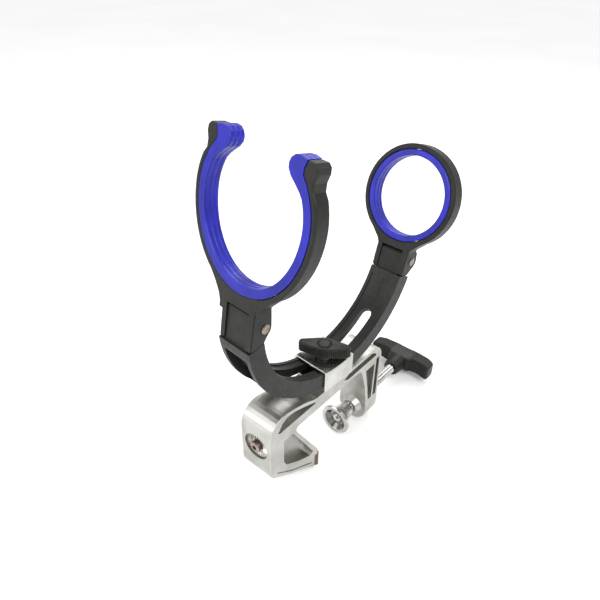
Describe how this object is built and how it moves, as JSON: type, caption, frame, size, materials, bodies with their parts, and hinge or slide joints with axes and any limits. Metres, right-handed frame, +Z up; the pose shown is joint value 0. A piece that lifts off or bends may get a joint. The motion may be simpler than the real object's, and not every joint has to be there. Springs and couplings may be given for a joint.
{
  "type": "rod holder",
  "caption": "Clamp-on fishing rod holder with a screw clamp, a sliding arc arm on a swivel, an open lined yoke and a closed lined ring.",
  "frame": {"origin": "centre of the fixed jaw's clamping face, on the clamp screw's axis", "axes": "+X along the clamp screw from its handle towards the fixed jaw's outer face, +Z up through the pivot bolt, +Y across the clamp"},
  "size_m": [0.2046, 0.0855, 0.2548],
  "materials": {
    "cast_aluminium": "satin, die-cast",
    "zinc_steel": "bright zinc plate",
    "pin_steel": "plain steel",
    "black_plastic": "fine satin grain",
    "blue_plastic": "soft gloss",
    "pad_rubber": "matte, serrated"
  },
  "bodies": {
    "clamp": {"clamp_body": "cast_aluminium", "jaw_pad": "pad_rubber", "jaw_screw": "pin_steel", "jaw_washer": "zinc_steel", "lock_nut": "zinc_steel", "knob_bolt": "zinc_steel"},
    "foot": {"swivel_foot": "zinc_steel"},
    "spindle": {"clamp_screw": "zinc_steel", "foot_rivet": "zinc_steel", "t_handle": "black_plastic"},
    "saddle_swivel": {"saddle": "cast_aluminium"},
    "arc_arm": {"arm": "black_plastic", "front_hinge_pin": "pin_steel", "rear_hinge_pin": "pin_steel"},
    "yoke": {"yoke_frame": "black_plastic", "yoke_liner": "blue_plastic"},
    "ring": {"ring_frame": "black_plastic", "ring_liner": "blue_plastic"},
    "knob_lift": {"knob_washer": "black_plastic"},
    "knob_turn": {"knob": "black_plastic", "knob_cap": "black_plastic"}
  },
  "joints": [
    {"name": "screw_feed", "type": "slide", "parent": "clamp", "child": "foot", "axis": [1, 0, 0], "range_m": [-0.0015, 0.033]},
    {"name": "screw_turn", "type": "hinge", "parent": "foot", "child": "spindle", "pos_m": [-0.06, 0, 0], "axis": [1, 0, 0], "range_deg": [-450, 9600]},
    {"name": "saddle_swivel", "type": "hinge", "parent": "clamp", "child": "saddle_swivel", "pos_m": [-0.0165, 0, 0.0616], "axis": [0, 0, 1], "continuous": true},
    {"name": "arm_slide", "type": "hinge", "parent": "saddle_swivel", "child": "arc_arm", "pos_m": [-0.0165, 0, 0.146], "axis": [0.0523, 0.9986, 0], "range_deg": [-35, 35]},
    {"name": "yoke_fold", "type": "hinge", "parent": "arc_arm", "child": "yoke", "pos_m": [0.04891, -0.00343, 0.1435], "axis": [-0.0523, -0.9986, 0], "range_deg": [0, 90]},
    {"name": "ring_fold", "type": "hinge", "parent": "arc_arm", "child": "ring", "pos_m": [-0.0924, 0.00398, 0.1255], "axis": [-0.0523, -0.9986, 0], "range_deg": [0, 60]},
    {"name": "knob_lift", "type": "slide", "parent": "clamp", "child": "knob_lift", "axis": [0, 0, 1], "range_m": [0, 0.004]},
    {"name": "knob_turn", "type": "hinge", "parent": "knob_lift", "child": "knob_turn", "pos_m": [-0.0165, 0, 0.08], "axis": [0, 0, 1], "range_deg": [0, 1180]}
  ],
  "couplings": [
    {"joint": "screw_turn", "follows": "screw_feed", "rad_per_m": 5026.5},
    {"joint": "knob_turn", "follows": "knob_lift", "rad_per_m": 5026.5}
  ]
}
